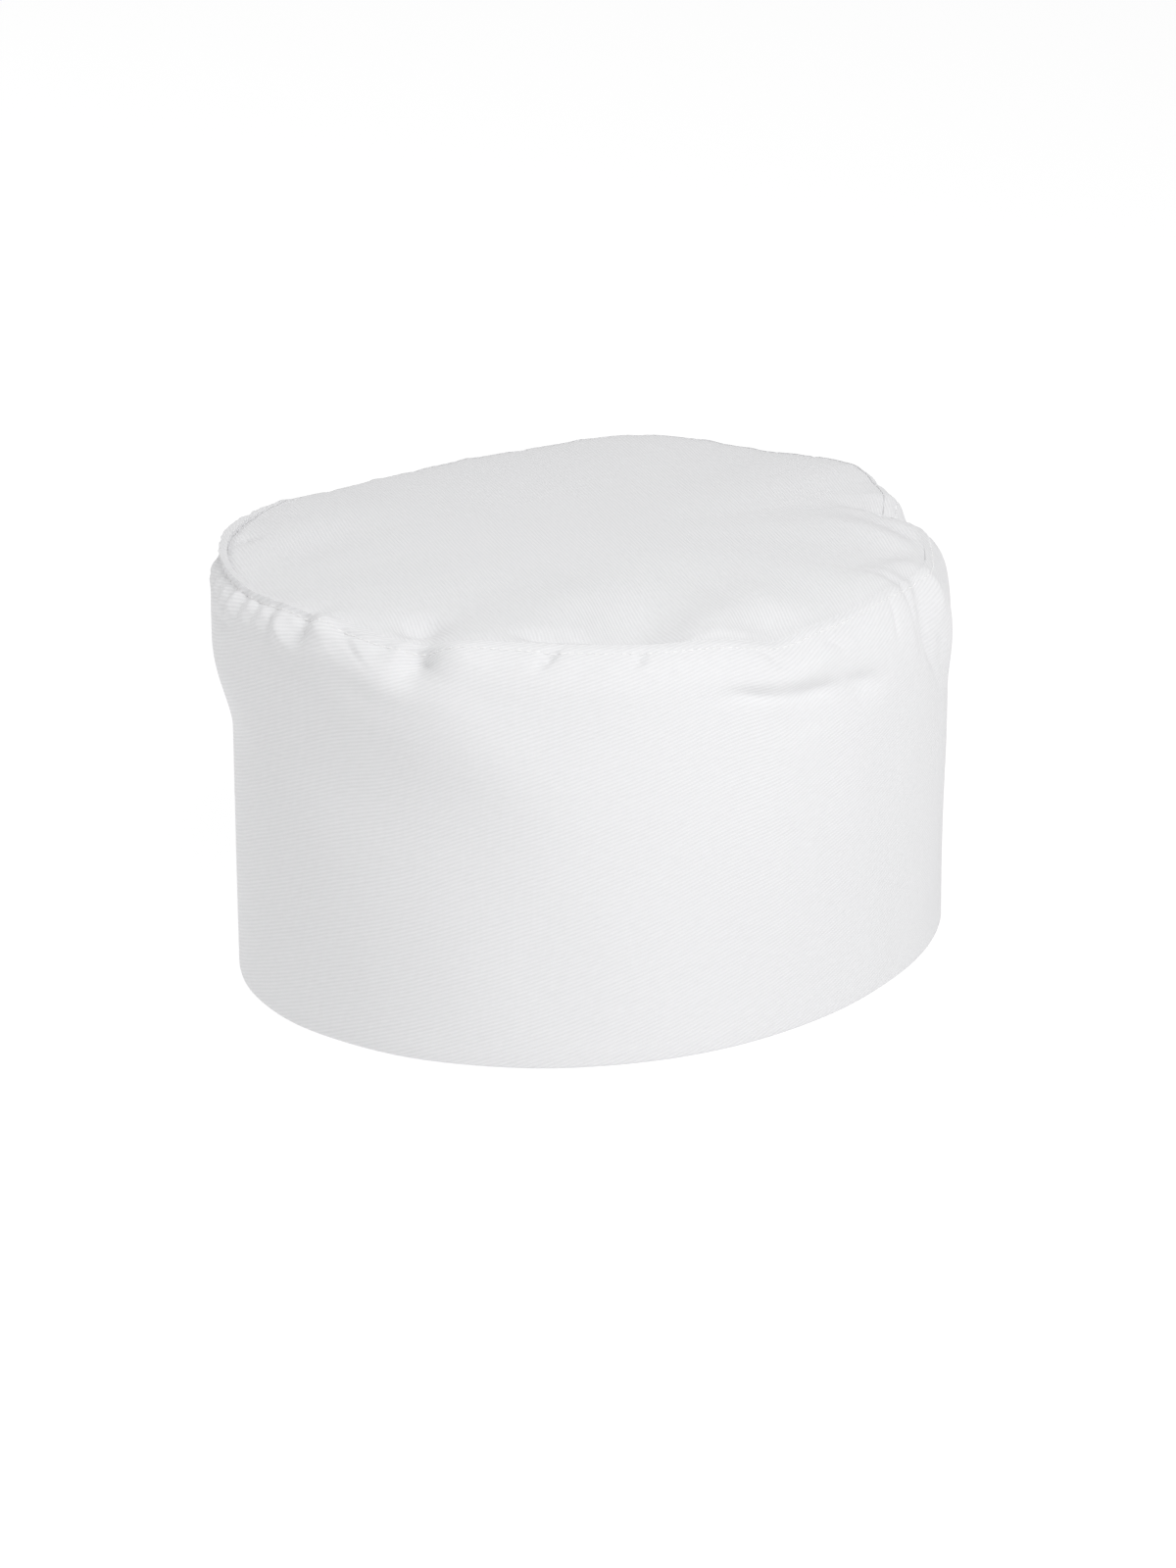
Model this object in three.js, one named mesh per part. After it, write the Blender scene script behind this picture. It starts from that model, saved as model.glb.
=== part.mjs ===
// Chef skull cap: a doubled side band whose cloth rolls over the top edge, and a flat top panel sewn
// inside that roll. Millimetres, +Z up, front of the cap toward -Y, long axis along Y, rim on z = 0.
import * as THREE from 'three';

// Driving sizes
const RIM_LENGTH = 197.6;      // outer length of the rim oval, front to back
const RIM_WIDTH = 168.9;       // outer width of the rim oval
const OVAL_POWER = 2.06;       // 2 is an ellipse, more is squarer
const CAP_HEIGHT = 105;        // usual height of the top seam
const BAND_WALL = 2.0;         // the band's cloth lies double
const PANEL_WALL = 1.3;        // thickness of the top panel
const SEAM_GAP = 0.3;          // between the panel's edge and the band's edge
const SEAM_INSET = 6;          // how far the seam lies inside the wall
const ROLL_HEIGHT = 15;        // height of the rounded shoulder under the seam
const ROLL_POWER = 3;          // the higher, the later the shoulder turns inward
const BULGE_DEPTH = 5;         // how far the upper wall swells at the left front
const LIP_DROP = 1.5;          // how far the panel's edge may lie below the band's edge
const SEAM_PINCH = 0.8;        // the stitches pull the band's edge down by this
const FOLD_DEPTH = 2;          // height of a full fold in the band
const DENT_DEPTH = 2;          // height of a full bump in the panel
const PANEL_RISE = 0.5;        // the panel's middle above the usual seam height
const PANEL_PUFF = 0.8;        // the panel swells by this just inside its seam
const PUFF_REACH = 4;          // the width that this swelling takes
const PANEL_FADE = 7;          // the band's folds fade out on the panel over this
const DENT_FADE = 2;           // the panel's bumps die out toward the seam over this
const PINCH_REACH = 1.3;       // the stitches' pull fades out over this

// Mesh steps; the hidden faces follow the seen ones with fewer steps
const AROUND = 168;
const WALL_STEPS = [0, 0.34, 0.6, 0.7, 0.78, 0.86, 0.93];
const ROLL_STEPS = [0, 0.2, 0.38, 0.54, 0.68, 0.8, 0.91, 1];
const INSIDE_WALL_STEPS = [0, 0.6, 0.78, 0.93];
const INSIDE_ROLL_STEPS = [0, 0.38, 0.68, 0.91, 1];
const PANEL_RINGS = [0.32, 0.56, 0.72, 0.84, 0.92, 0.97, 1];
const PANEL_UNDER_RINGS = [0.56, 0.84, 0.97, 1];

// The swelling of the upper wall starts and ends at these shares of the seam's height.
const BULGE_SPAN = [0.6, 0.81];
// The seam's ups and downs fade toward the panel's middle; the higher, the sooner.
const EDGE_POWER = 3;
// The band's edge is cut upright at the seam; the higher, the nearer to the seam that turn starts.
const CUT_POWER = 6;

// Sections around the cap. Azimuth in degrees from the front toward +X. seam is a share of CAP_HEIGHT,
// inset of SEAM_INSET, bulge and wall of BULGE_DEPTH, roll of ROLL_HEIGHT, lip of LIP_DROP.
const SECTION_COLUMNS = ['azimuth', 'seam', 'inset', 'bulge', 'wall', 'roll', 'lip'];
const SECTIONS = [
  [-170, 1.000, 0.75, 0.00, 0.00, 0.9, 0.15],
  [-150, 1.019, 0.75, 0.10, 0.00, 0.9, 0.15],
  [-132, 0.998, 0.75, 0.20, 0.00, 0.9, 0.15],
  [-112, 0.987, 0.75, 0.35, -0.06, 0.9, 0.20],
  [-92, 0.985, 0.70, 0.60, -0.14, 0.9, 0.05],
  [-72, 1.004, 0.46, 1.05, -0.24, 0.9, 0.20],
  [-54, 1.016, 0.50, 1.08, -0.32, 0.9, 0.45],
  [-38, 1.016, 0.88, 1.00, -0.28, 1.0, 1.00],
  [-24, 1.015, 1.34, 0.80, -0.02, 1.1, 0.85],
  [-12, 1.023, 1.42, 0.50, 0.05, 1.1, 0.45],
  [0, 1.017, 1.25, 0.20, 0.00, 1.0, 0.15],
  [11, 1.002, 1.00, 0.04, 0.00, 1.0, 0.00],
  [22, 1.021, 1.00, 0.00, 0.00, 1.0, 0.00],
  [34, 1.015, 1.08, 0.00, 0.02, 1.0, 0.00],
  [48, 1.003, 1.00, 0.00, 0.08, 1.0, 0.00],
  [61, 0.993, 0.92, 0.00, 0.10, 1.0, 0.05],
  [72, 0.964, 0.84, 0.00, 0.07, 1.1, 0.25],
  [81, 0.973, 0.86, 0.00, 0.05, 1.1, 0.05],
  [90, 0.975, 0.92, 0.04, 0.02, 1.2, 0.05],
  [102, 0.985, 0.95, 0.14, -0.04, 1.3, 0.00],
  [114, 0.979, 0.92, 0.30, 0.00, 1.4, 0.10],
  [124, 0.972, 1.10, 0.26, 0.02, 1.6, 0.20],
  [134, 0.981, 1.36, 0.12, 0.02, 1.6, -0.15],
  [142, 0.986, 1.60, 0.00, 0.00, 1.6, -0.15],
  [149, 0.980, 1.70, 0.00, 0.00, 1.5, 0.00],
  [156, 0.972, 1.60, 0.00, 0.00, 1.1, 0.10],
  [163, 0.984, 1.10, 0.00, 0.00, 0.9, 0.15],
  [171, 1.010, 0.75, 0.00, 0.00, 0.9, 0.15],
  [180, 1.010, 0.75, 0.00, 0.00, 0.9, 0.15],
];

// Folds and gathers of the band. below (the seam, along the cloth), along and across are shares of
// CAP_HEIGHT, slant is in degrees above the girth, lift is a share of FOLD_DEPTH.
const FOLD_COLUMNS = ['azimuth', 'below', 'along', 'across', 'slant', 'lift'];
const FOLDS = [
  // the long diagonal swell at the left front, and the hollow under it
  [-3, 0.084, 0.133, 0.060, -38, 0.50],
  [9.5, 0.155, 0.171, 0.086, -34, 0.80],
  [24, 0.270, 0.210, 0.105, -30, 0.55],
  [-14, 0.248, 0.229, 0.114, -40, -0.70],
  [8, 0.400, 0.248, 0.133, -34, -0.50],
  [0, 0.062, 0.100, 0.036, -8, 0.30],
  [10, 0.100, 0.105, 0.042, -16, 0.40],
  [18, 0.145, 0.105, 0.050, -34, 0.35],
  [-10, 0.140, 0.110, 0.040, -28, -0.50],
  [3, 0.138, 0.110, 0.036, -16, -0.50],
  // gathers along the left front, and the hollow under them
  [-53, 0.060, 0.048, 0.026, 90, 0.30],
  [-42, 0.060, 0.048, 0.026, 90, 0.30],
  [-33, 0.060, 0.048, 0.024, 90, 0.35],
  [-24.7, 0.055, 0.044, 0.022, 90, 0.45],
  [-19.8, 0.055, 0.036, 0.019, 90, 0.20],
  [-10.4, 0.060, 0.040, 0.021, 122, 0.70],
  [-6.0, 0.050, 0.036, 0.024, 104, -1.10],
  [-2.5, 0.028, 0.036, 0.024, -6, 1.20],
  [9.5, 0.046, 0.034, 0.026, 70, 0.35],
  [13.8, 0.050, 0.045, 0.042, 92, -2.00],
  [20.5, 0.045, 0.050, 0.036, 0, 0.55],
  [32.8, 0.036, 0.032, 0.019, 42, -0.35],
  [-27, 0.114, 0.110, 0.030, 4, -0.50],
  [-18, 0.118, 0.070, 0.028, 4, -0.40],
  [-30, 0.185, 0.110, 0.050, 0, -0.28],
  // the crescent crease at the right front, under a puffed edge
  [66, 0.140, 0.080, 0.024, 2, -0.75],
  [78, 0.152, 0.105, 0.028, -7, -1.05],
  [91, 0.180, 0.075, 0.031, -17, -0.85],
  [76, 0.084, 0.200, 0.036, 3, 0.50],
  [71, 0.004, 0.085, 0.030, 0, -0.35],
  [78, 0.196, 0.120, 0.046, -7, -0.35],
  // the pleat that hangs from the right end of the seam
  [109.5, 0.080, 0.100, 0.030, 95, -1.15],
  [114.5, 0.100, 0.115, 0.052, 94, -2.00],
  [116, 0.215, 0.085, 0.028, -55, -0.80],
  [120, 0.210, 0.090, 0.048, -60, -0.75],
  [124, 0.130, 0.120, 0.040, 92, 0.45],
  [127, 0.250, 0.100, 0.050, 90, 0.35],
  [120.5, 0.070, 0.060, 0.028, 96, 0.40],
  // the deep notch at the right back
  [149, 0.140, 0.125, 0.064, 90, -3.50],
  [139, 0.070, 0.080, 0.050, 90, 0.40],
  [156, 0.020, 0.085, 0.052, 90, -1.65],
  // plain gathers round the hidden back
  [161, 0.045, 0.055, 0.024, 90, 0.25],
  [172, 0.045, 0.060, 0.024, 90, 0.30],
  [-178, 0.050, 0.060, 0.024, 95, -0.28],
  [-160, 0.055, 0.070, 0.026, 100, 0.35],
  [-149, 0.045, 0.060, 0.024, 90, -0.30],
  [-139, 0.050, 0.060, 0.024, 84, 0.30],
  [-128, 0.045, 0.060, 0.024, 92, -0.32],
  [-117, 0.055, 0.070, 0.026, 98, 0.35],
  [-106, 0.045, 0.060, 0.024, 90, -0.30],
  [-97, 0.050, 0.060, 0.024, 90, 0.35],
  [-86, 0.045, 0.060, 0.024, 86, -0.35],
  [-75, 0.055, 0.060, 0.024, 90, 0.40],
  [-64, 0.050, 0.060, 0.024, 90, -0.40],
  // broad, shallow slack in the hidden half of the wall
  [-152, 0.300, 0.260, 0.120, 62, 0.45],
  [-128, 0.380, 0.240, 0.110, 66, -0.45],
  [-100, 0.330, 0.260, 0.120, 70, 0.40],
  [-74, 0.500, 0.240, 0.120, 58, -0.35],
  [166, 0.420, 0.260, 0.120, 112, -0.40],
];

// Bumps and hollows of the top panel. x is a share of half the rim's width and y of half its length,
// along and across of half the rim's width, heading in degrees from +X, lift of DENT_DEPTH.
const DENT_COLUMNS = ['x', 'y', 'along', 'across', 'heading', 'lift'];
const DENTS = [
  [0.41, -0.47, 0.22, 0.120, 112, 0.80],
  [0.64, -0.53, 0.28, 0.140, 118, -2.30],
  [0.79, -0.25, 0.26, 0.120, 112, 1.30],
  [0.195, -0.84, 0.070, 0.080, 90, -1.40],
  [0.88, -0.24, 0.170, 0.048, 74, -0.80],
  [0.62, 0.59, 0.170, 0.045, -8, -0.50],
  [0.63, 0.51, 0.150, 0.050, -4, 0.40],
  [0.75, 0.38, 0.170, 0.050, 98, -0.50],
  [0.84, 0.28, 0.180, 0.070, 98, 0.45],
  [0.45, 0.70, 0.130, 0.050, 20, -0.20],
  [-0.56, -0.54, 0.28, 0.100, 94, -0.45],
  [-0.72, -0.40, 0.24, 0.100, 94, 0.30],
];

const HALF_LENGTH = RIM_LENGTH / 2;
const HALF_WIDTH = RIM_WIDTH / 2;
const GIRTH_RADIUS = (HALF_LENGTH + HALF_WIDTH) / 2;
const DEGREE = Math.PI / 180;

function asRows(columns, table) {
  return table.map((values) => Object.fromEntries(columns.map((name, k) => [name, values[k]])));
}

const sections = asRows(SECTION_COLUMNS, SECTIONS);
const dents = asRows(DENT_COLUMNS, DENTS);
const folds = asRows(FOLD_COLUMNS, FOLDS);

// Radius of the rim oval at an azimuth in degrees.
function ovalRadius(azimuth) {
  const side = Math.abs(Math.sin(azimuth * DEGREE)) / HALF_WIDTH;
  const front = Math.abs(Math.cos(azimuth * DEGREE)) / HALF_LENGTH;
  return (side ** OVAL_POWER + front ** OVAL_POWER) ** (-1 / OVAL_POWER);
}

function turn(degrees) {
  return ((degrees % 360) + 360) % 360;
}

// Every column of the section table at an azimuth, on a smooth closed curve through its rows.
function sectionAt(azimuth) {
  const count = sections.length;
  const start = turn(azimuth - sections[0].azimuth);
  let at = count - 1;
  while (turn(sections[at].azimuth - sections[0].azimuth) > start) at -= 1;
  const row = (k) => sections[(at + k + count) % count];
  const span = (from, to) => turn(row(to).azimuth - row(from).azimuth);
  const step = span(0, 1);
  const t = turn(azimuth - row(0).azimuth) / step;
  const values = {};
  for (const name of SECTION_COLUMNS.slice(1)) {
    const slope0 = ((row(1)[name] - row(-1)[name]) / span(-1, 1)) * step;
    const slope1 = ((row(2)[name] - row(0)[name]) / span(0, 2)) * step;
    values[name] = (2 * t ** 3 - 3 * t ** 2 + 1) * row(0)[name] + (t ** 3 - 2 * t ** 2 + t) * slope0
      + (3 * t ** 2 - 2 * t ** 3) * row(1)[name] + (t ** 3 - t ** 2) * slope1;
  }
  return values;
}

// How far the folds lift the band's cloth at an azimuth and a distance below the seam.
function foldLift(azimuth, below) {
  let lift = 0;
  for (const fold of folds) {
    const girth = (turn(azimuth - fold.azimuth + 180) - 180) * DEGREE * GIRTH_RADIUS;
    const rise = fold.below * CAP_HEIGHT - below;
    const cos = Math.cos(fold.slant * DEGREE);
    const sin = Math.sin(fold.slant * DEGREE);
    const along = (girth * cos + rise * sin) / (fold.along * CAP_HEIGHT);
    const across = (rise * cos - girth * sin) / (fold.across * CAP_HEIGHT);
    lift += fold.lift * FOLD_DEPTH * Math.exp(-(along ** 2) - across ** 2);
  }
  return lift;
}

// One point of the band's profile at an azimuth: wall is 0 to 1 up the straight wall, roll 0 to 1 over
// the shoulder to the seam. depth is measured into the cloth from its outer face.
function bandPoint(azimuth, wall, roll, depth) {
  const section = sectionAt(azimuth);
  const seamHeight = section.seam * CAP_HEIGHT;
  const rollHeight = section.roll * ROLL_HEIGHT;
  const inset = section.inset * SEAM_INSET;
  const wallTop = seamHeight - rollHeight;
  const height = wall * wallTop + roll * rollHeight;
  const tilt = Math.atan2(ROLL_POWER * inset * roll ** (ROLL_POWER - 1), rollHeight);
  const cut = tilt + (Math.PI / 2 - tilt) * roll ** CUT_POWER;
  const below = (1 - roll) * Math.hypot(rollHeight, inset) + (1 - wall) * wallTop;
  const swell = THREE.MathUtils.smoothstep(height / seamHeight, ...BULGE_SPAN);
  const lift = foldLift(azimuth, below);
  const radius = ovalRadius(azimuth) + section.wall * BULGE_DEPTH + section.bulge * BULGE_DEPTH * swell
    - inset * roll ** ROLL_POWER + lift * Math.cos(tilt) - depth * Math.cos(cut);
  const pinch = SEAM_PINCH * Math.exp(-((below / PINCH_REACH) ** 2));
  const z = height + lift * Math.sin(tilt) - pinch - depth * Math.sin(cut);
  return new THREE.Vector3(radius * Math.sin(azimuth * DEGREE), -radius * Math.cos(azimuth * DEGREE), z);
}

// A point on the panel's upper face; share is 0 at the middle and 1 at the seam.
function panelPoint(azimuth, share) {
  const section = sectionAt(azimuth);
  const seam = bandPoint(azimuth, 1, 1, 0);
  const edgeRadius = Math.hypot(seam.x, seam.y) - SEAM_GAP;
  const edgeHeight = seam.z - section.lip * LIP_DROP;
  const calmHeight = section.seam * CAP_HEIGHT - SEAM_PINCH - section.lip * LIP_DROP;
  const middle = CAP_HEIGHT + PANEL_RISE;
  const inward = (1 - share) * edgeRadius;
  const x = share * edgeRadius * Math.sin(azimuth * DEGREE);
  const y = -share * edgeRadius * Math.cos(azimuth * DEGREE);
  let z = middle + (calmHeight - middle) * share ** EDGE_POWER
    + (edgeHeight - calmHeight) * Math.exp(-((inward / PANEL_FADE) ** 2))
    + PANEL_PUFF * (1 - Math.exp(-inward / PUFF_REACH));
  const free = 1 - Math.exp(-((inward / DENT_FADE) ** 2));
  for (const dent of dents) {
    const east = x - dent.x * HALF_WIDTH;
    const north = y - dent.y * HALF_LENGTH;
    const cos = Math.cos(dent.heading * DEGREE);
    const sin = Math.sin(dent.heading * DEGREE);
    const along = (east * cos + north * sin) / (dent.along * HALF_WIDTH);
    const across = (north * cos - east * sin) / (dent.across * HALF_WIDTH);
    z += free * dent.lift * DENT_DEPTH * Math.exp(-(along ** 2) - across ** 2);
  }
  return new THREE.Vector3(x, y, z);
}

// Points of one row for each step around the cap.
function ring(pointAt) {
  return Array.from({ length: AROUND }, (_, k) => pointAt(-180 + (360 * k) / AROUND));
}

// Triangles between two neighbouring rings that start at the given vertex numbers.
function joinRings(index, lower, upper) {
  for (let k = 0; k < AROUND; k += 1) {
    const next = (k + 1) % AROUND;
    index.push(lower + k, lower + next, upper + next, lower + k, upper + next, upper + k);
  }
}

function toGeometry(points, index) {
  const geometry = new THREE.BufferGeometry().setFromPoints(points);
  geometry.setIndex(index);
  geometry.computeVertexNormals();
  return geometry;
}

// Outer face up to the seam, then the inner face back down to the rim.
function bandGeometry() {
  const outside = [
    ...WALL_STEPS.map((wall) => ring((azimuth) => bandPoint(azimuth, wall, 0, 0))),
    ...ROLL_STEPS.map((roll) => ring((azimuth) => bandPoint(azimuth, 1, roll, 0))),
  ];
  const inside = [
    ...INSIDE_ROLL_STEPS.map((roll) => ring((azimuth) => bandPoint(azimuth, 1, roll, BAND_WALL))).reverse(),
    ...INSIDE_WALL_STEPS.map((wall) => ring((azimuth) => bandPoint(azimuth, wall, 0, BAND_WALL))).reverse(),
  ];
  const rings = [...outside, ...inside];
  const index = [];
  rings.forEach((_, row) => joinRings(index, row * AROUND, ((row + 1) % rings.length) * AROUND));
  return toGeometry(rings.flat(), index);
}

// Under face from the middle out, then the upper face back in.
function panelGeometry() {
  const drop = new THREE.Vector3(0, 0, -PANEL_WALL);
  const upper = PANEL_RINGS.map((share) => ring((azimuth) => panelPoint(azimuth, share)));
  const under = PANEL_UNDER_RINGS.map((share) => ring((azimuth) => panelPoint(azimuth, share).add(drop)));
  const rings = [...under, ...upper.reverse()];
  const middle = panelPoint(0, 0);
  const points = [...rings.flat(), middle.clone().add(drop), middle];
  const index = [];
  for (let row = 0; row + 1 < rings.length; row += 1) joinRings(index, row * AROUND, (row + 1) * AROUND);
  const underMiddle = points.length - 2;
  const upperMiddle = points.length - 1;
  const lastRing = (rings.length - 1) * AROUND;
  for (let k = 0; k < AROUND; k += 1) {
    const next = (k + 1) % AROUND;
    index.push(underMiddle, next, k);
    index.push(upperMiddle, lastRing + k, lastRing + next);
  }
  return toGeometry(points, index);
}

function clothMesh(name, geometry, colour) {
  const material = new THREE.MeshStandardMaterial({ color: colour, roughness: 0.9, metalness: 0 });
  const mesh = new THREE.Mesh(geometry, material);
  mesh.name = name;
  return mesh;
}

const cap = new THREE.Group();
cap.add(clothMesh('side_band', bandGeometry(), 0xf2f2f4));
cap.add(clothMesh('top_panel', panelGeometry(), 0xeeeef1));

// The middle of the cap's box stands over the origin.
const box = new THREE.Box3().setFromObject(cap);
const centre = box.getCenter(new THREE.Vector3());
cap.position.set(-centre.x, -centre.y, -box.min.z);

export default cap;
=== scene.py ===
import math

import bpy
import numpy as np
from mathutils import Euler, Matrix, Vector


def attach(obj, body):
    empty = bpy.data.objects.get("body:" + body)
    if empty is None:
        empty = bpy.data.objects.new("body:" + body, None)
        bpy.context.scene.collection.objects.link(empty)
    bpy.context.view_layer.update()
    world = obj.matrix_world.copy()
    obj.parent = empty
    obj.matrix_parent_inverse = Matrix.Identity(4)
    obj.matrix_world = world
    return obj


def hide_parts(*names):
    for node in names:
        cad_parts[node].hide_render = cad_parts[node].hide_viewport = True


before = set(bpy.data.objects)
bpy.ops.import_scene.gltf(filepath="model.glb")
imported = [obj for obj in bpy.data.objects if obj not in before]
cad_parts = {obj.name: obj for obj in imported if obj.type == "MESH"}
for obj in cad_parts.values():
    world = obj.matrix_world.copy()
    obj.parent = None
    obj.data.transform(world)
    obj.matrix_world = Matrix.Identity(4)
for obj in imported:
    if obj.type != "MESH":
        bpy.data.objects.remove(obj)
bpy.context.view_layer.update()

# Chef skull cap: the two cloths, the thread, and the floor, lights and camera round them.
# Shapes are worked out in millimetres round the rim's centre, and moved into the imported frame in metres.
MM = 0.001
CENTRE_SHIFT = (1.286, 0.876)

# Driving sizes of the cap, the same as the solids'
RIM_LENGTH = 197.6
RIM_WIDTH = 168.9
OVAL_POWER = 2.06
CAP_HEIGHT = 105.0
BAND_WALL = 2.0
PANEL_WALL = 1.3
SEAM_INSET = 6.0
ROLL_HEIGHT = 15.0
ROLL_POWER = 3
BULGE_DEPTH = 5.0
BULGE_SPAN = (0.6, 0.81)
LIP_DROP = 1.5
SEAM_PINCH = 0.8
PINCH_REACH = 1.3
FOLD_DEPTH = 2.0
DENT_DEPTH = 2.0
PANEL_RISE = 0.5
PANEL_PUFF = 0.8
PANEL_FADE = 7.0
PUFF_REACH = 4.0
DENT_FADE = 2.0
EDGE_POWER = 3
CUT_POWER = 6

# Sewing: a topstitched welt runs all round just below the seam
SEAM_GAP = 0.05
STITCH_BELOW = 2.5
STITCH_PULL = 0.9
STITCH_GROOVE = 0.75
WELT_HEIGHT = 1.3
WELT_MIDDLE = 0.55
WELT_REACH = 0.45
WELT_TUCK = 1.0
TUCK_REACH = 0.9
STITCH_PITCH = 2.1
STITCH_LENGTH = 1.75
THREAD_WIDTH = 0.36
THREAD_RISE = 0.04
STITCH_LEAN = 6.0
UNEVEN_LEAN = (0.4, 1.6)
UNEVEN_LENGTH = (0.9, 1.06)
UNEVEN_WIDTH = (0.9, 1.1)
STITCH_SEED = 7
STITCH_SEGMENTS = 8
STITCH_RINGS = 5
HEM_RADIUS = BAND_WALL / 2

# Small ripples of the sewn cloth under the seam, and faint slack in the wall
PUCKER_HEIGHT = 0.16
PUCKER_MIDDLE = 4.5
PUCKER_REACH = 3.6
PUCKER_WAVES = (62, 74, 91, 107, 128, 149)
SLACK_HEIGHT = 0.16
SLACK_WAVES = (5, 8, 11, 15, 19)
SLACK_DRIFT = 0.03
RIPPLE_SEED = 12

# The band's ends meet in a shallow upright join at the hidden back
JOIN_AZIMUTH = 180.0
JOIN_DEPTH = 0.4
JOIN_REACH = 0.9

# Mesh steps
AROUND = 800
HEM_TURNS = 7
LOW_WALL_ROWS = 12
HIGH_WALL_ROWS = 28
HIGH_WALL_START = 0.55
ROLL_ROWS = 30
INSIDE_WALL_ROWS = 8
INSIDE_ROLL_ROWS = 8
PANEL_RING_SPANS = ((0.06, 0.42, 7), (0.45, 0.90, 24), (0.908, 1.0, 14))
PANEL_UNDER_RINGS = (0.06, 0.3, 0.6, 0.8, 0.92, 1.0)
SLOPE_STEP = 0.3
SHARP_ANGLE = 55.0

HALF_LENGTH = RIM_LENGTH / 2
HALF_WIDTH = RIM_WIDTH / 2
GIRTH_RADIUS = (HALF_LENGTH + HALF_WIDTH) / 2

# Sections around the cap. Azimuth in degrees from the front toward +X. seam is a share of CAP_HEIGHT,
# inset of SEAM_INSET, bulge and wall of BULGE_DEPTH, roll of ROLL_HEIGHT, lip of LIP_DROP.
SECTION_COLUMNS = ("azimuth", "seam", "inset", "bulge", "wall", "roll", "lip")
SECTIONS = (
    (-170, 1.000, 0.75, 0.00, 0.00, 0.9, 0.15),
    (-150, 1.019, 0.75, 0.10, 0.00, 0.9, 0.15),
    (-132, 0.998, 0.75, 0.20, 0.00, 0.9, 0.15),
    (-112, 0.987, 0.75, 0.35, -0.06, 0.9, 0.20),
    (-92, 0.985, 0.70, 0.60, -0.14, 0.9, 0.05),
    (-72, 1.004, 0.46, 1.05, -0.24, 0.9, 0.20),
    (-54, 1.016, 0.50, 1.08, -0.32, 0.9, 0.90),
    (-38, 1.016, 0.88, 1.00, -0.28, 1.0, 1.00),
    (-24, 1.015, 1.34, 0.80, -0.02, 1.1, 0.85),
    (-12, 1.023, 1.42, 0.50, 0.05, 1.1, 0.45),
    (0, 1.017, 1.25, 0.20, 0.00, 1.0, 0.15),
    (11, 1.002, 1.00, 0.04, 0.00, 1.0, 0.00),
    (22, 1.021, 1.00, 0.00, 0.00, 1.0, 0.00),
    (34, 1.015, 1.08, 0.00, 0.02, 1.0, 0.00),
    (48, 1.003, 1.00, 0.00, 0.08, 1.0, 0.00),
    (61, 0.993, 0.92, 0.00, 0.10, 1.0, 0.05),
    (72, 0.964, 0.84, 0.00, 0.07, 1.1, 0.25),
    (81, 0.973, 0.86, 0.00, 0.05, 1.1, 0.05),
    (90, 0.975, 0.92, 0.04, 0.02, 1.2, 0.05),
    (102, 0.985, 0.95, 0.14, -0.04, 1.3, 0.00),
    (114, 0.979, 0.92, 0.30, 0.00, 1.4, 0.10),
    (124, 0.972, 1.10, 0.26, 0.02, 1.6, 0.20),
    (134, 0.981, 1.36, 0.12, 0.02, 1.6, -0.15),
    (142, 0.986, 1.60, 0.00, 0.00, 1.6, -0.15),
    (149, 0.980, 1.70, 0.00, 0.00, 1.5, 0.00),
    (156, 0.972, 1.60, 0.00, 0.00, 1.1, 0.10),
    (163, 0.984, 1.10, 0.00, 0.00, 0.9, 0.15),
    (171, 1.010, 0.75, 0.00, 0.00, 0.9, 0.15),
    (180, 1.010, 0.75, 0.00, 0.00, 0.9, 0.15),
)

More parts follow.
